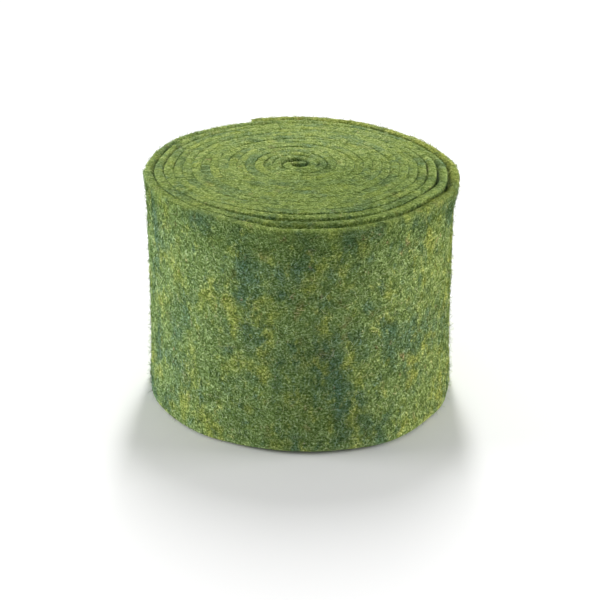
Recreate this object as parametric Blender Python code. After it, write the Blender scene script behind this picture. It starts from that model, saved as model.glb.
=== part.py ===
"""A band of thick wool felt wound into a roll that stands on its cut edge.

The roll is one strip. Its inner end is folded back as a thin tongue across the eye, its turns grow
outwards anticlockwise as seen from above, and its loose outer end lies flat on the turn below it at
the back.
Metres, +Z up, origin on the floor under the middle of the roll.
"""

import bisect
import math
from collections import namedtuple

import bmesh
import bpy
from mathutils import Vector
from mathutils.geometry import interpolate_bezier

# The felt band
BAND_WIDTH = 0.150
FELT_THICKNESS = 0.0052
CUT_EDGE_CROWN = 0.0012  # how far the cut edge is rounded over

# The winding
OUTER_RADIUS = 0.1004  # middle of the felt at the loose end, halfway up
INNER_RADIUS = 0.0083  # middle of the felt where the first turn starts
LOOSE_END_DIRECTION = 108.5  # degrees anticlockwise from +X
FIRST_TURN_DIRECTION = -140.0
WHOLE_TURNS = 15
TURNS = WHOLE_TURNS + (LOOSE_END_DIRECTION - FIRST_TURN_DIRECTION) / 360.0
PITCH = (OUTER_RADIUS - INNER_RADIUS) / TURNS

# Steps along the strip: finer in the outer turns, which show from the side
FINE_TURNS = 3.0
FINE_STEPS_PER_TURN = 48
STEPS_PER_TURN = 32
ALONG_LOOK = 0.001  # turns looked ahead and back for the strip's direction
TONGUE_STEPS = 18

# The tongue across the eye, in plan from the middle of the eye
TONGUE_TIP = Vector((0.0052, 0.0004, 0.0))
TONGUE_TIP_PULL = Vector((-0.0098, 0.0056, 0.0))
TONGUE_BEND_PULL = 0.0060
TONGUE_TURNS = 0.5  # the tongue counts as half a turn more
TONGUE_THICKNESS = 0.0030
TONGUE_PINCH = 0.35  # share of the tongue over which the felt is pinched to that thickness

# How far the roll's outline stands out from a true spiral, by direction
Outline = namedtuple("Outline", "direction_deg swell")
OUTLINE = (
    Outline(0.0, -0.0006),
    Outline(25.0, -0.0048),
    Outline(45.0, -0.0063),
    Outline(70.0, -0.0040),
    Outline(95.0, -0.0029),
    Outline(125.0, -0.0014),
    Outline(150.0, 0.0002),
    Outline(175.0, -0.0008),
    Outline(210.0, 0.0014),
    Outline(245.0, 0.0023),
    Outline(270.0, 0.0046),
    Outline(297.0, 0.0068),
    Outline(330.0, 0.0030),
    Outline(360.0, -0.0006),
)

# How far each turn has slid upwards, counted in turns from the loose end
Slide = namedtuple("Slide", "turns_in top_front top_back foot")
SLIDE = (
    Slide(0.0, 0.0002, 0.0020, 0.0),
    Slide(1.0, 0.0022, 0.0030, 0.0),
    Slide(2.0, 0.0044, 0.0042, 0.0),
    Slide(3.0, 0.0048, 0.0046, 0.0008),
    Slide(4.0, 0.0049, 0.0050, 0.0018),
    Slide(9.0, 0.0052, 0.0053, 0.0024),
    Slide(15.6, 0.0056, 0.0056, 0.0028),
    Slide(16.3, 0.0046, 0.0046, 0.0022),
)
TOP_WAVE = 0.0004  # the cut edge wanders up and down by this
TOP_WAVES_PER_TURN = 2.3

# The outer turns lean outwards near both cut edges
FLARE_TURNS = 4.0
FLARE_FADE = 2.0  # how quickly the lean fades from turn to turn
FLARE_CURVE = 1.5  # how late up the band the lean sets in
TOP_FLARE = 0.0030
TOP_FLARE_HEIGHT = 0.034
FOOT_FLARE = 0.0028
FOOT_FLARE_HEIGHT = 0.045

# Heights up the band where its faces have a row of points, as shares of the band's width
FACE_ROWS = (0.0, 0.07, 0.17, 0.30, 0.77, 0.86, 0.94, 1.0)

FELT_GREEN = (0.16, 0.24, 0.085, 1.0)
FELT_ROUGHNESS = 0.95
SHARP_ANGLE_DEG = 50.0


def row_at(table, key):
    """The row of a table at a key that may lie between two of its rows, eased from one to the next."""
    keys = [row[0] for row in table]
    above = min(bisect.bisect_right(keys, key), len(table) - 1)
    low, high = table[above - 1], table[above]
    share = (key - low[0]) / (high[0] - low[0])
    eased = share * share * (3.0 - 2.0 * share)
    return type(low)(*(a + (b - a) * eased for a, b in zip(low, high)))


def winding_point(turns_in):
    """Middle of the felt in plan, so many turns in from the loose end."""
    direction_deg = LOOSE_END_DIRECTION - 360.0 * turns_in
    radius = OUTER_RADIUS - PITCH * turns_in
    radius *= 1.0 + row_at(OUTLINE, direction_deg % 360.0).swell / OUTER_RADIUS
    direction = math.radians(direction_deg)
    return Vector((radius * math.cos(direction), radius * math.sin(direction), 0.0))


def winding_stations():
    """Turns in from the loose end at which the wound part of the strip has a section."""
    fine = int(FINE_TURNS * FINE_STEPS_PER_TURN)
    stations = [step / FINE_STEPS_PER_TURN for step in range(fine)]
    step = 1.0 / STEPS_PER_TURN
    turns_in = FINE_TURNS
    while turns_in < TURNS - 0.5 * step:
        stations.append(turns_in)
        turns_in += step
    stations.append(TURNS)
    return stations


def strip_path():
    """Middle of the felt, its way outwards and its turns in, from the loose end to the tongue's tip."""
    path = []
    for turns_in in winding_stations():
        along = winding_point(turns_in + ALONG_LOOK) - winding_point(turns_in - ALONG_LOOK)
        outwards = Vector((-along.y, along.x, 0.0)).normalized()
        path.append((winding_point(turns_in), outwards, turns_in))
    start = path[-1][0]
    heading = Vector((path[-1][1].y, -path[-1][1].x, 0.0))
    bend = start + heading * TONGUE_BEND_PULL
    tip_pull = TONGUE_TIP + TONGUE_TIP_PULL
    tongue = interpolate_bezier(start, bend, tip_pull, TONGUE_TIP, TONGUE_STEPS + 1)
    for step in range(1, TONGUE_STEPS + 1):
        before = tongue[step - 1]
        after = tongue[min(step + 1, TONGUE_STEPS)]
        along = after - before
        outwards = Vector((-along.y, along.x, 0.0)).normalized()
        path.append((tongue[step], outwards, TURNS + TONGUE_TURNS * step / TONGUE_STEPS))
    return path


def flare(turns_in, share_up):
    """How far a point of an outer turn leans outwards near the top or the foot of the band."""
    looseness = max(0.0, 1.0 - turns_in / FLARE_TURNS) ** FLARE_FADE
    from_top = BAND_WIDTH * (1.0 - share_up)
    from_foot = BAND_WIDTH * share_up
    top = max(0.0, 1.0 - from_top / TOP_FLARE_HEIGHT) ** FLARE_CURVE
    foot = max(0.0, 1.0 - from_foot / FOOT_FLARE_HEIGHT) ** FLARE_CURVE
    return looseness * (TOP_FLARE * top + FOOT_FLARE * foot)


def half_thickness(turns_in):
    """Half of the felt's thickness, which is less where the tongue is pinched."""
    along_tongue = min(1.0, max(0.0, turns_in - TURNS) / (TONGUE_TURNS * TONGUE_PINCH))
    return 0.5 * (FELT_THICKNESS + (TONGUE_THICKNESS - FELT_THICKNESS) * along_tongue)


def section_points(middle, outwards, turns_in):
    """One closed section of the strip: up its outer face, over its crown, down its inner face."""
    slide = row_at(SLIDE, turns_in)
    backness = 0.5 + 0.5 * middle.y / max(middle.length, INNER_RADIUS)
    wave = TOP_WAVE * math.sin(2.0 * math.pi * TOP_WAVES_PER_TURN * turns_in)
    top = BAND_WIDTH + slide.top_front + (slide.top_back - slide.top_front) * backness + wave
    crown = top + CUT_EDGE_CROWN
    points = []
    for side, rows in ((1.0, FACE_ROWS), (-1.0, FACE_ROWS[::-1])):
        for share_up in rows:
            offset = side * half_thickness(turns_in) + flare(turns_in, share_up)
            place = middle + outwards * offset
            points.append((place.x, place.y, slide.foot + (top - slide.foot) * share_up))
        if side > 0.0:
            place = middle + outwards * flare(turns_in, 1.0)
            points.append((place.x, place.y, crown))
    return points


def felt_material():
    """Mottled green wool felt, matt."""
    material = bpy.data.materials.new("green_felt")
    material.use_nodes = True
    shader = material.node_tree.nodes["Principled BSDF"]
    shader.inputs["Base Color"].default_value = FELT_GREEN
    shader.inputs["Roughness"].default_value = FELT_ROUGHNESS
    shader.inputs["Metallic"].default_value = 0.0
    return material


def felt_roll():
    """The whole strip, skinned over its sections and closed at both ends."""
    shape = bmesh.new()
    rings = []
    for middle, outwards, turns_in in strip_path():
        points = section_points(middle, outwards, turns_in)
        rings.append([shape.verts.new(point) for point in points])
    count = len(rings[0])
    for ring, following in zip(rings, rings[1:]):
        for i in range(count):
            j = (i + 1) % count
            shape.faces.new((ring[i], ring[j], following[j], following[i]))
    shape.faces.new(rings[0])
    shape.faces.new(rings[-1])
    bmesh.ops.recalc_face_normals(shape, faces=shape.faces)
    xs = [vert.co.x for vert in shape.verts]
    ys = [vert.co.y for vert in shape.verts]
    middle_of_box = Vector((min(xs) + max(xs), min(ys) + max(ys), 0.0)) / 2.0
    bmesh.ops.translate(shape, verts=shape.verts, vec=-middle_of_box)
    bmesh.ops.triangulate(shape, faces=shape.faces)
    mesh = bpy.data.meshes.new("felt_roll")
    shape.to_mesh(mesh)
    shape.free()
    mesh.shade_smooth()
    mesh.set_sharp_from_angle(angle=math.radians(SHARP_ANGLE_DEG))
    mesh.materials.append(felt_material())
    roll = bpy.data.objects.new("felt_roll", mesh)
    bpy.context.scene.collection.objects.link(roll)
    return roll


for leftover in list(bpy.data.objects):
    bpy.data.objects.remove(leftover, do_unlink=True)
felt_roll()
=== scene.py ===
import bisect
import math
from collections import namedtuple

import bmesh
import bpy
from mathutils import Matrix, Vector
from mathutils.geometry import interpolate_bezier


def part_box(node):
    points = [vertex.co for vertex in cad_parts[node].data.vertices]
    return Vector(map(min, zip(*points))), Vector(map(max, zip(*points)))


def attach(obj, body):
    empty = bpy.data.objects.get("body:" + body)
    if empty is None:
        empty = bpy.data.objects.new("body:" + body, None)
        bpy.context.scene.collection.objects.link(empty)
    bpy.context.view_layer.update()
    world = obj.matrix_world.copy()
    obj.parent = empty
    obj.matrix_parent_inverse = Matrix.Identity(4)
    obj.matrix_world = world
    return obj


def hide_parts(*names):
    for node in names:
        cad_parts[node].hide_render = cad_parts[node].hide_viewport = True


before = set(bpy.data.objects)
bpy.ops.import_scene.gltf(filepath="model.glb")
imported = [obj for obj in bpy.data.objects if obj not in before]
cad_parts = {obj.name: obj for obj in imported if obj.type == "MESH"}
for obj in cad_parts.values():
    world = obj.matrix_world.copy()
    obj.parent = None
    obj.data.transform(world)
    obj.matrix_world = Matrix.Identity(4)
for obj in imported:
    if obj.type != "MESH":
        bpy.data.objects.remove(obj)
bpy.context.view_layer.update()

# The felt band: one strip of thick needled wool felt, cut 150 mm wide and wound on itself by hand.
# Its inner end is folded back as a thin tongue across the eye, its outer turns lean out at both cut
# edges, and its loose end lies flat on the turn below it at the back.
BAND_WIDTH = 0.150
FELT_THICKNESS = 0.0054  # at the loose end; each turn further in fills its place
OUTER_RADIUS = 0.1004  # middle of the felt at the loose end
INNER_RADIUS = 0.0083  # middle of the felt where the first turn starts
LOOSE_END_DIRECTION = 108.5  # degrees anticlockwise from +X
FIRST_TURN_DIRECTION = -140.0
WHOLE_TURNS = 15
TURNS = WHOLE_TURNS + (LOOSE_END_DIRECTION - FIRST_TURN_DIRECTION) / 360.0
PITCH = (OUTER_RADIUS - INNER_RADIUS) / TURNS
TONGUE_TIP = Vector((0.0052, 0.0004, 0.0))  # from the middle of the eye
TONGUE_TIP_PULL = Vector((-0.0098, 0.0056, 0.0))
TONGUE_BEND_PULL = 0.0060
TONGUE_TURNS = 0.5  # the tongue counts as half a turn more
TONGUE_THICKNESS = 0.0030
TONGUE_PINCH = 0.35  # share of the tongue over which the felt is pinched to that thickness
TONGUE_STEPS = 32
FINE_TURNS = 2.0  # the outer turns, which show from the side, have more steps
FINE_STEPS_PER_TURN = 220
STEPS_PER_TURN = 110
ALONG_LOOK = 0.001  # turns looked ahead and back for the strip's direction
FLARE_TURNS = 4.0  # so many outer turns lean out at the cut edges
FLARE_FADE = 2.0  # how quickly the lean fades from turn to turn
FLARE_CURVE = 1.5  # how late up the band the lean sets in
TOP_FLARE = 0.0042  # how far the outermost turn leans out at the top, and how far down it starts
TOP_FLARE_HEIGHT = 0.021
FOOT_FLARE = 0.0028
FOOT_FLARE_HEIGHT = 0.060
LUMPS_PER_METRE = 38.0  # the faces undulate softly, by this height
LUMP_HEIGHT = 0.0012
TOP_WAVE = 0.0004  # the cut edge wanders up and down by this
TOP_WAVES_PER_TURN = 2.3
FOOT_LIFT = 0.0014  # the outermost turn rises off the table by this in places
FOOT_LIFTS_PER_TURN = 1.4
FOOT_LIFT_TURNS = 1.6  # further in, the turns no longer rise and fall
LEVEL_TOP = 0.0046  # how far the level turns have slid up
FOOT_ROUNDING = 2.1  # times as round as the top cut edge
RIM_WANDER = 0.35  # share by which the rounding of the cut edge comes and goes
RIM_WANDERS_PER_TURN = (3.1, 0.43)  # a quick wave inside a slow one
LIP_TINT = 0.5  # share of the cut edge's colour that carries over to the face
LIP_REACH = 0.03  # share of the band's width over which it fades
FACE_ROWS = 15
FACE_ROWS_CROWD = 0.75  # how far the rows of points crowd towards both cut edges
EDGE_ROWS = 6

# How far the roll's outline stands out from a true spiral, by direction
Outline = namedtuple("Outline", "direction_deg swell")
OUTLINE = (
    Outline(0.0, -0.0006),
    Outline(25.0, -0.0048),
    Outline(45.0, -0.0063),
    Outline(70.0, -0.0040),
    Outline(95.0, -0.0029),
    Outline(125.0, -0.0014),
    Outline(150.0, 0.0002),
    Outline(175.0, -0.0008),
    Outline(210.0, 0.0014),
    Outline(245.0, 0.0023),
    Outline(270.0, 0.0046),
    Outline(297.0, 0.0068),
    Outline(330.0, 0.0030),
    Outline(360.0, -0.0006),
)
# How far each turn has slid upwards, counted in turns from the loose end
Slide = namedtuple("Slide", "turns_in top_front top_back foot")
SLIDE = (
    Slide(0.0, 0.0002, 0.0014, 0.0),
    Slide(1.0, 0.0022, 0.0015, 0.0),
    Slide(2.0, 0.0044, 0.0019, 0.0),
    Slide(3.0, 0.0048, 0.0026, 0.0008),
    Slide(4.0, 0.0049, 0.0034, 0.0018),
    Slide(9.0, 0.0052, 0.0051, 0.0024),
    Slide(15.6, 0.0056, 0.0056, 0.0028),
    Slide(16.3, 0.0046, 0.0046, 0.0022),
)
# The gap between a turn and the next, how far its cut edge is rounded over, and how far it has matted
# together with the next at the front
Fit = namedtuple("Fit", "turns_in gap rounding matted")
FIT = (
    Fit(0.0, 0.00045, 0.0014, 0.0),
    Fit(1.0, 0.00050, 0.0014, 0.0),
    Fit(2.0, 0.00045, 0.0013, 0.0),
    Fit(2.8, 0.00022, 0.0009, 0.55),
    Fit(4.0, 0.00016, 0.0007, 0.85),
    Fit(7.0, 0.00010, 0.0005, 0.85),
    Fit(12.5, 0.00010, 0.0005, 0.8),
    Fit(14.2, 0.00050, 0.0013, 0.2),
    Fit(16.3, 0.00045, 0.0013, 0.0),
)
# How the turns open, round over, lean at the top and spread at the foot on the way round, times the
# values above, and how far their top cut edges are pushed level with each other
Opening = namedtuple("Opening", "direction_deg gap rounding lean spread level")
OPENINGS = (
    Opening(0.0, 1.2, 1.1, 1.0, 0.8, 0.0),
    Opening(30.0, 0.7, 0.8, 1.0, 0.8, 0.0),
    Opening(80.0, 1.0, 1.0, 1.0, 1.0, 0.0),
    Opening(115.0, 1.9, 1.5, 1.0, 1.1, 0.0),
    Opening(150.0, 2.0, 1.6, 1.0, 1.2, 0.2),
    Opening(176.0, 1.7, 1.3, 0.9, 1.3, 0.0),
    Opening(195.0, 0.1, 0.2, 0.4, 1.2, 0.8),
    Opening(215.0, 0.0, 0.1, 0.3, 1.2, 0.9),
    Opening(238.0, 0.1, 0.2, 0.3, 2.1, 0.7),
    Opening(252.0, 0.5, 0.5, 0.6, 2.2, 0.3),
    Opening(263.0, 1.4, 1.2, 1.0, 2.4, 0.0),
    Opening(282.0, 1.6, 1.4, 1.1, 2.6, 0.0),
    Opening(300.0, 0.6, 0.7, 0.8, 2.8, 0.3),
    Opening(325.0, 0.3, 0.5, 0.7, 1.6, 0.4),
    Opening(345.0, 1.4, 1.2, 1.0, 1.0, 0.0),
    Opening(360.0, 1.2, 1.1, 1.0, 0.8, 0.0),
)
# Painted light and shade on the cut edges on the way round, paler at the back and darker at the front
# right, as the light falls: the logarithm of how much paler they are
PaintedCutLight = namedtuple("PaintedCutLight", "direction_deg fade")
PAINTED_CUT_LIGHTS = (
    PaintedCutLight(0.0, 0.04),
    PaintedCutLight(42.0, 0.22),
    PaintedCutLight(140.0, 0.21),
    PaintedCutLight(180.0, 0.08),
    PaintedCutLight(245.0, 0.02),
    PaintedCutLight(310.0, -0.13),
    PaintedCutLight(342.0, -0.08),
    PaintedCutLight(360.0, 0.04),
)


def row_at(table, key):
    """The row of a table at a key that may lie between two of its rows, eased from one to the next."""
    keys = [row[0] for row in table]
    above = min(bisect.bisect_right(keys, key), len(table) - 1)
    low, high = table[above - 1], table[above]
    share = (key - low[0]) / (high[0] - low[0])
    eased = share * share * (3.0 - 2.0 * share)
    return type(low)(*(a + (b - a) * eased for a, b in zip(low, high)))


def winding_point(turns_in):
    """Middle of the felt in plan, so many turns in from the loose end."""
    direction_deg = LOOSE_END_DIRECTION - 360.0 * turns_in
    radius = OUTER_RADIUS - PITCH * turns_in
    radius *= 1.0 + row_at(OUTLINE, direction_deg % 360.0).swell / OUTER_RADIUS
    direction = math.radians(direction_deg)
    return Vector((radius * math.cos(direction), radius * math.sin(direction), 0.0))


def across(before, after):
    """Way out of the roll, square to a short stretch of the strip."""
    along = after - before
    return Vector((-along.y, along.x, 0.0)).normalized()


def strip_path():
    """Middle of the felt, its way outwards and its turns in, from the loose end to the tongue's tip."""
    outer = [step / FINE_STEPS_PER_TURN for step in range(int(FINE_TURNS * FINE_STEPS_PER_TURN))]
    count = round((TURNS - FINE_TURNS) * STEPS_PER_TURN)
    inner = [FINE_TURNS + (TURNS - FINE_TURNS) * step / count for step in range(count + 1)]
    path = []
    for turns_in in outer + inner:
        outwards = across(winding_point(turns_in - ALONG_LOOK), winding_point(turns_in + ALONG_LOOK))
        path.append((winding_point(turns_in), outwards, turns_in))
    start, outwards, _ = path[-1]
    bend = start + Vector((outwards.y, -outwards.x, 0.0)) * TONGUE_BEND_PULL
    tip_pull = TONGUE_TIP + TONGUE_TIP_PULL
    tongue = interpolate_bezier(start, bend, tip_pull, TONGUE_TIP, TONGUE_STEPS + 1)
    for step in range(1, TONGUE_STEPS + 1):
        outwards = across(tongue[step - 1], tongue[min(step + 1, TONGUE_STEPS)])
        path.append((tongue[step], outwards, TURNS + TONGUE_TURNS * step / TONGUE_STEPS))
    return path


def line_object(name, points, attributes, closed):
    """A chain of points with its own values at each point, for a node tree to follow."""
    count = len(points)
    edges = [(i, (i + 1) % count) for i in range(count if closed else count - 1)]
    mesh = bpy.data.meshes.new(name)
    mesh.from_pydata(points, edges, [])
    for key, values in attributes.items():
        if isinstance(values[0], float):
            mesh.attributes.new(key, "FLOAT", "POINT").data.foreach_set("value", values)
        else:
            flat = [part for value in values for part in value]
            mesh.attributes.new(key, "FLOAT_VECTOR", "POINT").data.foreach_set("vector", flat)
    made = bpy.data.objects.new(name, mesh)
    bpy.context.scene.collection.objects.link(made)
    return made


def band_path_object():
    """The strip's middle line with its shape's values at each point, and the strip's length."""
    path = strip_path()
    run = [0.0]
    for (here, _, _), (there, _, _) in zip(path, path[1:]):
        run.append(run[-1] + (there - here).length)
    tops, foots, leans, spreads, fullnesses, roundings, painted_lights = [], [], [], [], [], [], []
    for middle, _, turns_in in path:
        fit = row_at(FIT, turns_in)
        direction_deg = (LOOSE_END_DIRECTION - 360.0 * turns_in) % 360.0
        opening = row_at(OPENINGS, direction_deg)
        swell = row_at(OUTLINE, direction_deg).swell
        apart = 1.0 - fit.matted * max(0.0, -math.sin(math.radians(direction_deg)))
        thickness = PITCH * (1.0 + swell / OUTER_RADIUS) - fit.gap * opening.gap * apart
        if turns_in < 1.0:
            thickness = FELT_THICKNESS + (thickness - FELT_THICKNESS) * turns_in
        elif turns_in > TURNS:
            along_tongue = min(1.0, (turns_in - TURNS) / (TONGUE_TURNS * TONGUE_PINCH))
            thickness += (TONGUE_THICKNESS - thickness) * along_tongue
        fullnesses.append(thickness / FELT_THICKNESS)
        quick, slow = (math.sin(2.0 * math.pi * waves * turns_in) for waves in RIM_WANDERS_PER_TURN)
        roundings.append(fit.rounding * opening.rounding * apart * (1.0 + RIM_WANDER * quick * slow))
        slide = row_at(SLIDE, turns_in)
        backness = 0.5 + 0.5 * middle.y / max(middle.length, INNER_RADIUS)
        wave = TOP_WAVE * apart * math.sin(2.0 * math.pi * TOP_WAVES_PER_TURN * turns_in)
        top = slide.top_front + (slide.top_back - slide.top_front) * backness
        tops.append(BAND_WIDTH + top + (LEVEL_TOP - top) * opening.level + wave)
        lift = 0.5 - 0.5 * math.sin(2.0 * math.pi * FOOT_LIFTS_PER_TURN * turns_in)
        foots.append(slide.foot + FOOT_LIFT * lift * min(1.0, max(0.0, FOOT_LIFT_TURNS - turns_in)))
        looseness = max(0.0, 1.0 - turns_in / FLARE_TURNS) ** FLARE_FADE
        leans.append(opening.lean * looseness)
        spreads.append(opening.spread * looseness)
        # the cut edges' painted light and shade in this direction
        painted_lights.append(row_at(PAINTED_CUT_LIGHTS, direction_deg).fade)
    values = {
        "middle": [tuple(middle) for middle, _, _ in path],
        "outwards": [tuple(outwards) for _, outwards, _ in path],
        "turns_in": [turns_in for _, _, turns_in in path],
        "run": run,
        "top": tops,
        "foot": foots,
        "lean": leans,
        "spread": spreads,
        "fullness": fullnesses,
        "rounding": roundings,
        "fade": painted_lights,
    }
    return line_object("band_path", values["middle"], values, closed=False), run[-1]


def band_section_object():
    """The strip's section: two long faces and two rounded cut edges, anticlockwise from the foot.

    A point lies at a share of the way up the band, less its drop: 1 where a face ends below the top
    cut edge, 0 on the crest of the edge, and below zero where a face ends above the foot.
    """
    half = FELT_THICKNESS / 2.0
    outer = []
    for row in range(FACE_ROWS + 1):
        round_share = 2.0 * math.pi * row / FACE_ROWS
        share = row / FACE_ROWS - FACE_ROWS_CROWD * math.sin(round_share) / (2.0 * math.pi)
        cut = LIP_TINT * max(0.0, 1.0 - (1.0 - share) / LIP_REACH)
        outer.append((half, share, share - FOOT_ROUNDING * (1.0 - share), cut))
    crown = []
    for row in range(1, EDGE_ROWS):
        angle = math.pi * row / EDGE_ROWS
        crown.append((half * math.cos(angle), 1.0, 1.0 - math.sin(angle), 1.0))
    inner = [(-offset, share, drop, cut) for offset, share, drop, cut in reversed(outer)]
    foot = [(-offset, 0.0, -FOOT_ROUNDING * drop, 0.0) for offset, _, drop, _ in crown]
    points = outer + crown + inner + foot
    values = {
        "offset": [point[0] for point in points],
        "share_up": [point[1] for point in points],
        "drop": [point[2] for point in points],
        "cut": [point[3] for point in points],
    }
    flat = [(offset, share * BAND_WIDTH - drop * half / 2.0, 0.0) for offset, share, drop, _ in points]
    return line_object("band_section", flat, values, closed=True)


def feed(tree, socket, value):
    """Links a socket to another, or sets its value."""
    if isinstance(value, bpy.types.NodeSocket):
        tree.links.new(value, socket)
    else:
        socket.default_value = value


def add(tree, kind, settings=None, **inputs):
    """Adds a node, with its settings and its inputs by name, an underscore standing for a space."""
    made = tree.nodes.new(kind)
    for name, value in (settings or {}).items():
        setattr(made, name, value)
    for name, value in inputs.items():
        feed(tree, made.inputs[name.replace("_", " ")], value)
    return made


def sums(tree, operation, *values):
    """Adds a math node and returns its result."""
    made = add(tree, "ShaderNodeMath", {"operation": operation})
    for socket, value in zip(made.inputs, values):
        feed(tree, socket, value)
    return made.outputs[0]


def vectors(tree, operation, *values):
    """Adds a vector math node and returns its vector."""
    made = add(tree, "ShaderNodeVectorMath", {"operation": operation})
    for socket, value in zip(made.inputs, values):
        feed(tree, socket, value)
    return made.outputs["Vector"]


def scaled(tree, vector, factor):
    """A vector times a number."""
    made = add(tree, "ShaderNodeVectorMath", {"operation": "SCALE"}, Scale=factor)
    feed(tree, made.inputs[0], vector)
    return made.outputs["Vector"]


def named(tree, name, kind="FLOAT"):
    """A value that the geometry carries at each point."""
    return add(tree, "GeometryNodeInputNamedAttribute", {"data_type": kind}, Name=name).outputs["Attribute"]


def geometry_tree(name, sizes):
    """A node tree with a geometry in, a geometry out and one named input for each size."""
    tree = bpy.data.node_groups.new(name, "GeometryNodeTree")
    tree.interface.new_socket("Geometry", in_out="INPUT", socket_type="NodeSocketGeometry")
    kinds = {float: "NodeSocketFloat", int: "NodeSocketInt"}
    for label, value in sizes.items():
        kind = kinds.get(type(value), "NodeSocketObject")
        socket = tree.interface.new_socket(label, in_out="INPUT", socket_type=kind)
        if type(value) in kinds:
            socket.default_value = value
    tree.interface.new_socket("Geometry", in_out="OUTPUT", socket_type="NodeSocketGeometry")
    return tree, tree.nodes.new("NodeGroupInput").outputs, tree.nodes.new("NodeGroupOutput").inputs


def grown(name, ground, tree, sizes):
    """Runs a node tree on an object and returns the result as a plain mesh object."""
    modifier = ground.modifiers.new(name, "NODES")
    modifier.node_group = tree
    for item in tree.interface.items_tree:
        if item.in_out == "INPUT" and item.name in sizes:
            modifier[item.identifier] = sizes[item.name]
    bpy.context.view_layer.update()
    evaluated = ground.evaluated_get(bpy.context.evaluated_depsgraph_get())
    mesh = bpy.data.meshes.new_from_object(evaluated)
    ground.modifiers.remove(modifier)
    mesh.name = name
    made = bpy.data.objects.new(name, mesh)
    bpy.context.scene.collection.objects.link(made)
    return made


# The wool's blend. The rows after the ground colour are locks of other fleece worked in: their count
# per metre, where their mask starts and is full, their colour and how much they cover.
GROUND_GREEN = (0.150, 0.244, 0.060, 1.0)
CUT_GREEN = (0.206, 0.296, 0.061, 1.0)  # the lighter, yellower wool of the cut edges
Locks = namedtuple("Locks", "per_metre starts full colour cover")
LOCKS = (
    Locks(34.0, 0.46, 0.66, (0.058, 0.134, 0.056, 1.0), 0.80),
    Locks(58.0, 0.50, 0.70, (0.262, 0.336, 0.048, 1.0), 0.70),
    Locks(150.0, 0.54, 0.72, (0.288, 0.370, 0.060, 1.0), 0.60),
    Locks(130.0, 0.54, 0.72, (0.055, 0.134, 0.061, 1.0), 0.65),
    Locks(90.0, 0.60, 0.76, (0.215, 0.190, 0.055, 1.0), 0.45),
    Locks(230.0, 0.62, 0.76, (0.230, 0.145, 0.062, 1.0), 0.60),
)
CUT_LOCKS = 0.65  # share of the locks' cover, and of the strands' contrast, that a cut edge shows
CUT_STRANDS = 0.65
LOCK_SHIFT = Vector((0.37, 1.3, 0.71))  # each kind of lock has its own places
LOCK_DRAW = (1.15, 0.68, 1.0)  # locks lie a little more up the band than along it
WANDER_PER_METRE = 160.0  # the locks' edges wander this often, and this far
WANDER = 0.006
LOCK_DETAIL = 3.0
LOCK_ROUGHNESS = 0.6
SHADE_POWERS = (1.22, 1.0, 1.65)  # dark wool and painted shade are richer than pale wool and painted light
PAINTED_LIP_SHADE = 0.20  # painted shade, where the leaning lip shades the faces: they are darker by this share under the top cut edge
PAINTED_LIP_SHADE_FROM = 0.122  # metres up the band
PAINTED_LIP_SHADE_FULL = 0.142
YELLOWED = (1.11, 1.0, 0.82, 1.0)  # the blend near the loose end, times that further in
NOT_YELLOWED = (1.0, 1.0, 1.0, 1.0)
YELLOWED_UNTIL = 0.235  # metres from the loose end, and where the yellow has gone
GREEN_FROM = 0.335


def mixed(tree, share, first, second):
    """The first colour with a share of the second laid over it."""
    made = add(tree, "ShaderNodeMix", {"data_type": "RGBA"}, Factor=share)
    first_socket, second_socket = made.inputs[6], made.inputs[7]
    feed(tree, first_socket, first)
    feed(tree, second_socket, second)
    return made.outputs[2]


def risen(tree, value, starts, full, to=1.0):
    """Rises smoothly from nothing where a value starts, to its most where the value is full."""
    made = add(tree, "ShaderNodeMapRange", {"interpolation_type": "SMOOTHSTEP"}, Value=value,
               From_Min=starts, From_Max=full, To_Max=to)
    return made.outputs["Result"]


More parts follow.
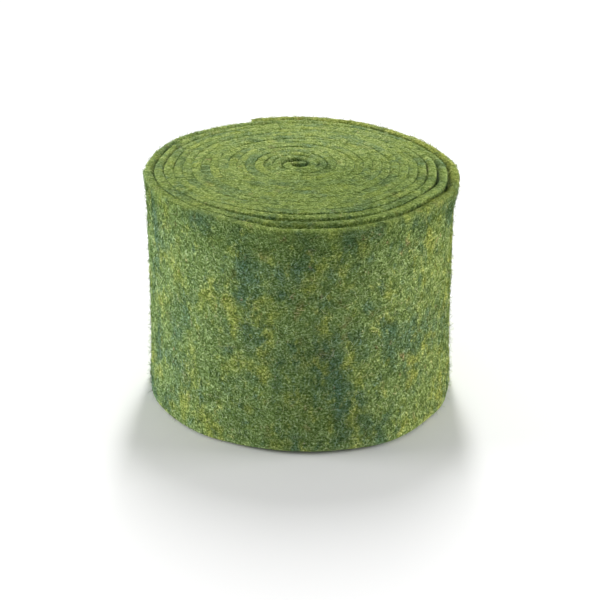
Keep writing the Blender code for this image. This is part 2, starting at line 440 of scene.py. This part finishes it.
def felt_blend():
    """Colour of the blended wool at a place on the strip, darkened or paled by a shade, with painted shade
    on the faces just under the top cut edge.
    """
    group = bpy.data.node_groups.new("felt blend", "ShaderNodeTree")
    group.interface.new_socket("Place", in_out="INPUT", socket_type="NodeSocketVector")
    group.interface.new_socket("Shade", in_out="INPUT", socket_type="NodeSocketFloat")
    group.interface.new_socket("Cut", in_out="INPUT", socket_type="NodeSocketFloat")
    group.interface.new_socket("Colour", in_out="OUTPUT", socket_type="NodeSocketColor")
    given = group.nodes.new("NodeGroupInput").outputs
    wander = add(group, "ShaderNodeTexNoise", Vector=given["Place"], Scale=WANDER_PER_METRE, Detail=2.0)
    centred = vectors(group, "SUBTRACT", wander.outputs["Color"], (0.5, 0.5, 0.5))
    place = vectors(group, "ADD", given["Place"], scaled(group, centred, WANDER))
    cover_here = sums(group, "SUBTRACT", 1.0, sums(group, "MULTIPLY", given["Cut"], 1.0 - CUT_LOCKS))
    colour = mixed(group, given["Cut"], GROUND_GREEN, CUT_GREEN)
    for index, locks in enumerate(LOCKS):
        shifted = vectors(group, "ADD", place, LOCK_SHIFT * index)
        drawn = vectors(group, "MULTIPLY", shifted, LOCK_DRAW)
        spots = add(group, "ShaderNodeTexNoise", Vector=drawn, Scale=locks.per_metre,
                    Detail=LOCK_DETAIL, Roughness=LOCK_ROUGHNESS)
        cover = sums(group, "MULTIPLY", cover_here, locks.cover)
        mask = risen(group, spots.outputs["Fac"], locks.starts, locks.full, cover)
        colour = mixed(group, mask, colour, locks.colour)
    along = add(group, "ShaderNodeSeparateXYZ", Vector=given["Place"]).outputs
    # painted shade on the faces just under the top cut edge, none on the cut edge itself
    uncut = sums(group, "SUBTRACT", 1.0, given["Cut"])
    painted_lip_shade = risen(group, along["Y"], PAINTED_LIP_SHADE_FROM, PAINTED_LIP_SHADE_FULL,
                      sums(group, "MULTIPLY", uncut, PAINTED_LIP_SHADE))
    dimmed = sums(group, "MULTIPLY", given["Shade"], sums(group, "SUBTRACT", 1.0, painted_lip_shade))
    red, green, blue = (sums(group, "POWER", dimmed, power) for power in SHADE_POWERS)
    shade = add(group, "ShaderNodeCombineXYZ", X=red, Y=green, Z=blue).outputs["Vector"]
    further_in = risen(group, along["X"], YELLOWED_UNTIL, GREEN_FROM)
    colour = vectors(group, "MULTIPLY", colour, mixed(group, further_in, YELLOWED, NOT_YELLOWED))
    out = group.nodes.new("NodeGroupOutput")
    group.links.new(vectors(group, "MULTIPLY", colour, shade), out.inputs["Colour"])
    return group


# The strands that mat over the faces: four families, each lying its own way
STRANDS_PER_METRE = (180.0, 950.0, 950.0)  # along a strand, and across it
STRAND_SHARPNESS = 4.5
STRAND_CURL = 0.7
Strands = namedtuple("Strands", "turn seed")
STRANDS = (
    Strands((0.0, 0.3, 0.2), 3.1),
    Strands((0.5, 0.0, 1.2), 5.7),
    Strands((0.2, 0.6, 2.2), 8.3),
    Strands((0.9, 0.2, 0.7), 1.9),
)
PITS_PER_METRE = 800.0
STRAND_CONTRAST = 1.85  # how much paler a strand's crest is than the felt between: partly paler wool, partly painted light on the raised crest
STRAND_MEAN = 0.77  # a strand of this height keeps the blend's own colour
# painted light and shade of the pits: the felt is paler where the bump rises and darker where it sinks
PIT_PAINTED_SHADE = 3.9
STRAND_RELIEF = 0.6  # a strand's height, as a share of a pit's depth
BUMP_HEIGHT = 0.0012


def strand_ridges(tree, place, strands):
    """Thin matted strands that run one way across the felt, 1 on a strand's crest."""
    turned = add(tree, "ShaderNodeMapping", Vector=place, Rotation=strands.turn,
                 Location=(strands.seed, 2.0 * strands.seed, 0.0))
    drawn = add(tree, "ShaderNodeMapping", Vector=turned.outputs["Vector"], Scale=STRANDS_PER_METRE)
    noise = add(tree, "ShaderNodeTexNoise", Vector=drawn.outputs["Vector"], Scale=1.0, Detail=1.0,
                Distortion=STRAND_CURL)
    centred = sums(tree, "ABSOLUTE", sums(tree, "SUBTRACT", noise.outputs["Fac"], 0.5))
    return sums(tree, "SUBTRACT", 1.0, sums(tree, "MULTIPLY", centred, STRAND_SHARPNESS))


blended_wool = felt_blend()


def carried(tree, name):
    """A value that the wool's mesh carries at each point, for a material."""
    return add(tree, "ShaderNodeAttribute", {"attribute_name": name}).outputs


def wool_colour(tree, light):
    """Colour of the blend, paler or darker by the logarithm of its light, calmer on a cut edge, and with
    the cut edges' painted light and shade by direction added.
    """
    place, cut, fade = (carried(tree, name) for name in ("strip_place", "cut", "fade"))
    contrast = sums(tree, "SUBTRACT", 1.0, sums(tree, "MULTIPLY", cut["Fac"], 1.0 - CUT_STRANDS))
    # painted light and shade on the cut edges, by direction round the roll
    cut_painted_light = sums(tree, "MULTIPLY", fade["Fac"], cut["Fac"])
    shade = sums(tree, "EXPONENT", sums(tree, "ADD", sums(tree, "MULTIPLY", light, contrast), cut_painted_light))
    blend = add(tree, "ShaderNodeGroup", {"node_tree": blended_wool}, Place=place["Vector"],
                Shade=shade, Cut=cut["Fac"])
    return blend.outputs["Colour"]


def felt_face_material():
    """Matted wool: the blend's colours, strands lying in all directions with crests paler partly by painted
    light, pits darkened by painted shade, and a soft sheen.
    """
    material = bpy.data.materials.new("felt_face")
    material.use_nodes = True
    tree = material.node_tree
    shader = tree.nodes["Principled BSDF"]
    place = carried(tree, "strip_place")["Vector"]
    ridges = strand_ridges(tree, place, STRANDS[0])
    for strands in STRANDS[1:]:
        ridges = sums(tree, "MAXIMUM", ridges, strand_ridges(tree, place, strands))
    pits = add(tree, "ShaderNodeTexNoise", Vector=place, Scale=PITS_PER_METRE, Detail=1.5).outputs["Fac"]
    # strand crests: partly paler wool, partly painted light where the bump rises
    from_ridges = sums(tree, "MULTIPLY", sums(tree, "SUBTRACT", ridges, STRAND_MEAN), STRAND_CONTRAST)
    # pits: painted shade where the bump sinks, painted light where it rises
    painted_pit_shade = sums(tree, "MULTIPLY", sums(tree, "SUBTRACT", pits, 0.5), PIT_PAINTED_SHADE)
    light = sums(tree, "ADD", from_ridges, painted_pit_shade)
    feed(tree, shader.inputs["Base Color"], wool_colour(tree, light))
    shader.inputs["Roughness"].default_value = 0.95
    shader.inputs["Specular IOR Level"].default_value = 0.15
    shader.inputs["Sheen Weight"].default_value = 0.2
    shader.inputs["Sheen Roughness"].default_value = 0.5
    shader.inputs["Sheen Tint"].default_value = (0.75, 0.85, 0.50, 1.0)
    height = sums(tree, "ADD", sums(tree, "MULTIPLY", ridges, STRAND_RELIEF), pits)
    bump = add(tree, "ShaderNodeBump", Height=height, Strength=1.0, Distance=BUMP_HEIGHT)
    feed(tree, shader.inputs["Normal"], bump.outputs["Normal"])
    return material


def band_tree(material, sizes):
    """Sweeps the section along the path, leans the outer turns out and lets the faces undulate."""
    tree, given, result = geometry_tree("felt band sweep", sizes)
    section = add(tree, "GeometryNodeObjectInfo", Object=given["Section"]).outputs["Geometry"]
    path_curve = add(tree, "GeometryNodeMeshToCurve", Mesh=given["Geometry"]).outputs["Curve"]
    section_curve = add(tree, "GeometryNodeMeshToCurve", Mesh=section).outputs["Curve"]
    swept = add(tree, "GeometryNodeCurveToMesh", Curve=path_curve, Profile_Curve=section_curve,
                Fill_Caps=True).outputs["Mesh"]
    share_up = named(tree, "share_up")
    offset = sums(tree, "MULTIPLY", named(tree, "offset"), named(tree, "fullness"))
    foot = named(tree, "foot")
    rise = sums(tree, "MULTIPLY", sums(tree, "SUBTRACT", named(tree, "top"), foot), share_up)
    drop = sums(tree, "MULTIPLY", named(tree, "drop"), named(tree, "rounding"))
    height = sums(tree, "SUBTRACT", sums(tree, "ADD", foot, rise), drop)

    def lean(from_edge, reach, amount):
        """How far a point leans out, by its distance from a cut edge."""
        near = sums(tree, "SUBTRACT", 1.0, sums(tree, "DIVIDE", from_edge, reach))
        curved = sums(tree, "POWER", sums(tree, "MAXIMUM", near, 0.0), FLARE_CURVE)
        return sums(tree, "MULTIPLY", curved, amount)

    from_foot = sums(tree, "MULTIPLY", share_up, given["Band Width"])
    from_top = sums(tree, "SUBTRACT", given["Band Width"], from_foot)
    top_lean = lean(from_top, given["Top Flare Height"], given["Top Flare"])
    foot_lean = lean(from_foot, given["Foot Flare Height"], given["Foot Flare"])
    leans = sums(tree, "ADD", sums(tree, "MULTIPLY", top_lean, named(tree, "lean")),
                 sums(tree, "MULTIPLY", foot_lean, named(tree, "spread")))
    run = named(tree, "run")
    outwards = named(tree, "outwards", "FLOAT_VECTOR")
    raised = add(tree, "ShaderNodeCombineXYZ", Z=height).outputs["Vector"]
    plain = vectors(tree, "ADD", named(tree, "middle", "FLOAT_VECTOR"), raised)
    plain = vectors(tree, "ADD", plain, scaled(tree, outwards, offset))
    lumps = add(tree, "ShaderNodeTexNoise", Vector=plain, Scale=given["Lumps Per Metre"], Detail=2.0)
    lump = sums(tree, "MULTIPLY", sums(tree, "SUBTRACT", lumps.outputs["Fac"], 0.5), given["Lump Height"])
    full = vectors(tree, "ADD", plain, scaled(tree, outwards, sums(tree, "ADD", leans, lump)))
    placed = add(tree, "GeometryNodeSetPosition", Geometry=swept, Position=full).outputs["Geometry"]
    strip_place = add(tree, "ShaderNodeCombineXYZ", X=run, Y=height, Z=offset).outputs["Vector"]
    stored = add(tree, "GeometryNodeStoreNamedAttribute", {"data_type": "FLOAT_VECTOR", "domain": "POINT"},
                 Geometry=placed, Name="strip_place", Value=strip_place).outputs["Geometry"]
    smooth = add(tree, "GeometryNodeSetShadeSmooth", Geometry=stored).outputs["Geometry"]
    real = add(tree, "GeometryNodeRealizeInstances", Geometry=smooth).outputs["Geometry"]
    dressed = add(tree, "GeometryNodeSetMaterial", Geometry=real, Material=material).outputs["Geometry"]
    tree.links.new(dressed, result["Geometry"])
    return tree


band_path, strip_length = band_path_object()
band_section = band_section_object()
band_sizes = {
    "Section": band_section,
    "Band Width": BAND_WIDTH,
    "Top Flare": TOP_FLARE,
    "Top Flare Height": TOP_FLARE_HEIGHT,
    "Foot Flare": FOOT_FLARE,
    "Foot Flare Height": FOOT_FLARE_HEIGHT,
    "Lumps Per Metre": LUMPS_PER_METRE,
    "Lump Height": LUMP_HEIGHT,
}
felt_sweep = band_tree(felt_face_material(), band_sizes)
felt_band = grown("felt_band", band_path, felt_sweep, band_sizes)
for helper in (band_path, band_section):
    bpy.data.objects.remove(helper, do_unlink=True)


def middle_in_plan(points):
    """Middle of the points' box, seen from above."""
    xs, ys = ([point[axis] for point in points] for axis in (0, 1))
    return Vector(((min(xs) + max(xs)) / 2.0, (min(ys) + max(ys)) / 2.0, 0.0))


# The band is wound round its eye, and then stands where the solid does
eye = middle_in_plan(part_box("felt_roll")) - middle_in_plan([vert.co for vert in felt_band.data.vertices])
for vert in felt_band.data.vertices:
    vert.co += eye
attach(felt_band, "root")
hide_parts("felt_roll")


# Loose wool: hairs that the needles left standing on the felt's faces and cut edges. They lie in
# short curls in every direction, pale over the darker mat, with a few stray ones standing clear.
HAIR_CONTRAST = 2.1  # how much paler one hair is than another
HAIR_MEAN = 0.40  # a hair of this tint keeps the blend's own colour
HAIR_SIZES = (0.45, 1.3)  # shortest and longest, times the length
HAIR_BOW = 0.25  # the handle that bends a hair lies to the side by this share of its length
HAIR_PULL = 2.0  # and up by so many times its arch
HAIR_DIP = 0.35  # both ends sink into the felt by this share of its arch
BOW_STEPS = 12
CLEAR_OF_TABLE = 2.0  # a hair's middle line stays this many radii above the table
SWIRLS_PER_METRE = 260.0  # hairs that grow side by side curl alike
SWIRL_SPREAD = (1.0, 0.7, 0.3)  # metres from one hair's swirls to another's, times its tint
OUTSIDE = 0.48  # the outer face begins at this share of the felt's thickness, out from its middle
CUT_EDGE = 0.97  # the top cut edge begins at this share of the band's width
FOOT_BARE = 0.01  # this share of the band's width stays bare next to the table
FACING_UP = 0.3  # the crest of the cut edge faces up by more than this
RIM_TURNS = 1.1  # so many turns stand against the room
FacePlace = namedtuple("FacePlace", "turns_in share_up side facing_up")
Hairs = namedtuple("Hairs", "name ground per_square_metre seed pieces length radius arch curl stand")


def faces_where(name, keep):
    """A copy of the band with only the faces whose place on it passes a test."""
    shape = bmesh.new()
    shape.from_mesh(felt_band.data)
    layers = [shape.verts.layers.float[key] for key in ("turns_in", "share_up", "offset")]
    extra = []
    for face in shape.faces:
        turns_in, share_up, offset = (
            sum(vert[layer] for vert in face.verts) / len(face.verts) for layer in layers
        )
        if not keep(FacePlace(turns_in, share_up, offset / FELT_THICKNESS, face.normal.z)):
            extra.append(face)
    bmesh.ops.delete(shape, geom=extra, context="FACES")
    mesh = bpy.data.meshes.new(name)
    shape.to_mesh(mesh)
    shape.free()
    made = bpy.data.objects.new(name, mesh)
    bpy.context.scene.collection.objects.link(made)
    return made


def random_number(tree, low, high, seed):
    """A random number for each point."""
    made = add(tree, "FunctionNodeRandomValue", {"data_type": "FLOAT"})
    feed(tree, made.inputs[2], low)
    feed(tree, made.inputs[3], high)
    feed(tree, made.inputs["Seed"], seed)
    return made.outputs[1]


def hair_tree(material, sizes):
    """Scatters closed three-sided hairs over a face, each curled its own way."""
    tree, given, result = geometry_tree("loose wool", sizes)
    seed = given["Seed"]
    scattered = add(tree, "GeometryNodeDistributePointsOnFaces", Mesh=given["Geometry"],
                    Density=given["Per Square Metre"], Seed=seed)
    tint = random_number(tree, 0.0, 1.0, sums(tree, "ADD", seed, 1.0))
    points = add(tree, "GeometryNodeStoreNamedAttribute", {"data_type": "FLOAT", "domain": "POINT"},
                 Geometry=scattered.outputs["Points"], Name="tint", Value=tint).outputs["Geometry"]
    turn = add(tree, "FunctionNodeAxisAngleToRotation", Axis=(0.0, 0.0, 1.0),
               Angle=random_number(tree, 0.0, 2.0 * math.pi, sums(tree, "ADD", seed, 2.0)))
    tip = add(tree, "FunctionNodeAxisAngleToRotation", Axis=(0.0, 1.0, 0.0),
              Angle=random_number(tree, sums(tree, "MULTIPLY", given["Stand"], -1.0), 0.0,
                                  sums(tree, "ADD", seed, 3.0)))
    turned = add(tree, "FunctionNodeRotateRotation", {"rotation_space": "LOCAL"},
                 Rotation=scattered.outputs["Rotation"], Rotate_By=turn.outputs["Rotation"])
    tipped = add(tree, "FunctionNodeRotateRotation", {"rotation_space": "LOCAL"},
                 Rotation=turned.outputs["Rotation"], Rotate_By=tip.outputs["Rotation"])
    ahead = sums(tree, "MULTIPLY", given["Length"], 0.5)
    back = sums(tree, "MULTIPLY", given["Length"], -0.5)
    dip = sums(tree, "MULTIPLY", given["Arch"], -HAIR_DIP)
    start = add(tree, "ShaderNodeCombineXYZ", X=back, Z=dip).outputs["Vector"]
    crest = add(tree, "ShaderNodeCombineXYZ", Y=sums(tree, "MULTIPLY", given["Length"], HAIR_BOW),
                Z=sums(tree, "MULTIPLY", given["Arch"], HAIR_PULL)).outputs["Vector"]
    end = add(tree, "ShaderNodeCombineXYZ", X=ahead, Z=dip).outputs["Vector"]
    bow = add(tree, "GeometryNodeCurveQuadraticBezier", Resolution=BOW_STEPS, Start=start,
              Middle=crest, End=end)
    hair = add(tree, "GeometryNodeResampleCurve", Curve=bow.outputs["Curve"],
               Count=sums(tree, "ADD", given["Pieces"], 1.0))
    size = random_number(tree, *HAIR_SIZES, sums(tree, "ADD", seed, 4.0))
    placed = add(tree, "GeometryNodeInstanceOnPoints", Points=points, Instance=hair.outputs["Curve"],
                 Rotation=tipped.outputs["Rotation"],
                 Scale=add(tree, "ShaderNodeCombineXYZ", X=size, Y=size, Z=1.0).outputs["Vector"])
    real = add(tree, "GeometryNodeRealizeInstances", Geometry=placed.outputs["Instances"])
    where = add(tree, "GeometryNodeInputPosition").outputs["Position"]
    spread = vectors(tree, "ADD", where, scaled(tree, SWIRL_SPREAD, named(tree, "tint")))
    swirl = add(tree, "ShaderNodeTexNoise", Vector=spread, Scale=SWIRLS_PER_METRE, Detail=1.0)
    centred = vectors(tree, "SUBTRACT", swirl.outputs["Color"], (0.5, 0.5, 0.5))
    drift = scaled(tree, centred, given["Curl"])
    apart = add(tree, "ShaderNodeSeparateXYZ", Vector=vectors(tree, "ADD", where, drift)).outputs
    lowest = sums(tree, "MULTIPLY", given["Radius"], CLEAR_OF_TABLE)
    lifted = sums(tree, "MAXIMUM", apart["Z"], lowest)
    resting = add(tree, "ShaderNodeCombineXYZ", X=apart["X"], Y=apart["Y"], Z=lifted).outputs["Vector"]
    curled = add(tree, "GeometryNodeSetPosition", Geometry=real.outputs["Geometry"],
                 Position=resting).outputs["Geometry"]
    ring = add(tree, "GeometryNodeCurvePrimitiveCircle", Resolution=3, Radius=given["Radius"])
    tube = add(tree, "GeometryNodeCurveToMesh", Curve=curled, Profile_Curve=ring.outputs["Curve"],
               Fill_Caps=True).outputs["Mesh"]
    smooth = add(tree, "GeometryNodeSetShadeSmooth", Geometry=tube).outputs["Geometry"]
    whole = add(tree, "GeometryNodeRealizeInstances", Geometry=smooth).outputs["Geometry"]
    dressed = add(tree, "GeometryNodeSetMaterial", Geometry=whole, Material=material).outputs["Geometry"]
    tree.links.new(dressed, result["Geometry"])
    return tree


def hair_material():
    """Single wool hairs: the blend's colour where they grow, some pale and some dark."""
    material = bpy.data.materials.new("loose_wool")
    material.use_nodes = True
    tree = material.node_tree
    shader = tree.nodes["Principled BSDF"]
    from_mean = sums(tree, "SUBTRACT", carried(tree, "tint")["Fac"], HAIR_MEAN)
    light = sums(tree, "MULTIPLY", from_mean, HAIR_CONTRAST)
    feed(tree, shader.inputs["Base Color"], wool_colour(tree, light))
    shader.inputs["Roughness"].default_value = 0.9
    shader.inputs["Specular IOR Level"].default_value = 0.2
    return material


def on_side(place):
    """The outer face of the outermost turn, down to just above the table."""
    return place.turns_in < 1.0 and place.side > OUTSIDE and place.share_up > FOOT_BARE


def on_top(place):
    """The crest of the top cut edge, in every turn."""
    return place.share_up > CUT_EDGE and place.facing_up > FACING_UP


def on_rim(place):
    """Everything that stands against the room: the outermost turn's face and top cut edge."""
    return place.turns_in < RIM_TURNS and (place.side > OUTSIDE or place.share_up > CUT_EDGE)


def hair_sizes(hairs):
    """The node tree's inputs for one kind of hair."""
    return {
        "Per Square Metre": hairs.per_square_metre,
        "Seed": hairs.seed,
        "Pieces": hairs.pieces,
        "Length": hairs.length,
        "Radius": hairs.radius,
        "Arch": hairs.arch,
        "Curl": hairs.curl,
        "Stand": hairs.stand,
    }


side_ground = faces_where("side_ground", on_side)
top_ground = faces_where("top_ground", on_top)
rim_ground = faces_where("rim_ground", on_rim)
# Sizes in metres; the last value is how far up a hair may tip, in radians
HAIRS = (
    Hairs("side_hairs_a", side_ground, 140000.0, 11, 2, 0.0040, 0.00015, 0.00040, 0.0030, 0.0),
    Hairs("side_hairs_b", side_ground, 140000.0, 23, 2, 0.0032, 0.00013, 0.00045, 0.0030, 0.1),
    Hairs("side_hairs_c", side_ground, 78000.0, 37, 3, 0.0065, 0.00013, 0.00060, 0.0040, 0.1),
    Hairs("top_hairs", top_ground, 270000.0, 41, 2, 0.0040, 0.00013, 0.00035, 0.0030, 0.1),
    Hairs("stray_hairs", rim_ground, 110000.0, 53, 2, 0.0062, 0.00008, 0.00070, 0.0040, 1.5),
)
loose_wool = hair_tree(hair_material(), hair_sizes(HAIRS[0]))
for hairs in HAIRS:
    tuft = grown(hairs.name, hairs.ground, loose_wool, hair_sizes(hairs))
    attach(tuft, "root")
for helper in (side_ground, top_ground, rim_ground):
    bpy.data.objects.remove(helper, do_unlink=True)


# The setting: a white table that runs into a white room, a long soft light overhead and behind,
# a soft light at each side, and the camera a little over a metre away, looking down at the roll.
CAMERA_DISTANCE = 1.128
CAMERA_PITCH = math.radians(25.09)
AIM_HEIGHT = 0.0594
EYE_FROM_AIM = Vector((-0.0013, 0.0061, 0.0))  # the eye lies this far from the aim, in plan
LENS_PX = 1681.5  # focal length, in pixels of the picture
FRAME_PX = 600.0
SENSOR_MM = 36.0
TABLE_HALF_WIDTH = 6.0
TABLE_WHITE = (0.86, 0.86, 0.86, 1.0)


def table_top():
    """A wide white table top under the roll."""
    material = bpy.data.materials.new("white_table")
    material.use_nodes = True
    shader = material.node_tree.nodes["Principled BSDF"]
    shader.inputs["Base Color"].default_value = TABLE_WHITE
    shader.inputs["Roughness"].default_value = 0.9
    shape = bmesh.new()
    bmesh.ops.create_grid(shape, x_segments=1, y_segments=1, size=TABLE_HALF_WIDTH)
    mesh = bpy.data.meshes.new("table")
    shape.to_mesh(mesh)
    shape.free()
    mesh.materials.append(material)
    table = bpy.data.objects.new("table", mesh)
    bpy.context.scene.collection.objects.link(table)
    return table


LIGHTS_AIM = Vector((0.0, 0.0, 0.08))
ROOM_BRIGHTNESS = 0.43
Light = namedtuple("Light", "name place width height watts")
LIGHTS = (
    Light("back_light", (0.03, 0.85, 1.45), 0.16, 0.9, 19.5),
    Light("left_light", (-1.3, 0.0, 0.30), 0.6, 0.6, 17.0),
    Light("right_light", (1.3, 0.0, 0.30), 0.6, 0.6, 14.5),
)


def soft_light(light):
    """A soft box aimed at the roll."""
    box = bpy.data.lights.new(light.name, "AREA")
    box.shape = "RECTANGLE"
    box.size = light.width
    box.size_y = light.height
    box.energy = light.watts
    made = bpy.data.objects.new(light.name, box)
    made.location = light.place
    made.rotation_euler = (LIGHTS_AIM - Vector(light.place)).to_track_quat("-Z", "Y").to_euler()
    bpy.context.scene.collection.objects.link(made)


table_top()
for light in LIGHTS:
    soft_light(light)

world = bpy.data.worlds.new("white_room")
world.use_nodes = True
world.node_tree.nodes["Background"].inputs["Color"].default_value = (1.0, 1.0, 1.0, 1.0)
world.node_tree.nodes["Background"].inputs["Strength"].default_value = ROOM_BRIGHTNESS
bpy.context.scene.world = world
bpy.context.scene.view_settings.view_transform = "Standard"

aim = eye - EYE_FROM_AIM + Vector((0.0, 0.0, AIM_HEIGHT))
away = Vector((0.0, -math.cos(CAMERA_PITCH), math.sin(CAMERA_PITCH)))
camera_data = bpy.data.cameras.new("camera")
camera_data.sensor_width = SENSOR_MM
camera_data.lens = LENS_PX * SENSOR_MM / FRAME_PX
camera = bpy.data.objects.new("camera", camera_data)
camera.location = aim + away * CAMERA_DISTANCE
camera.rotation_euler = (math.pi / 2.0 - CAMERA_PITCH, 0.0, 0.0)
bpy.context.scene.collection.objects.link(camera)
bpy.context.scene.camera = camera
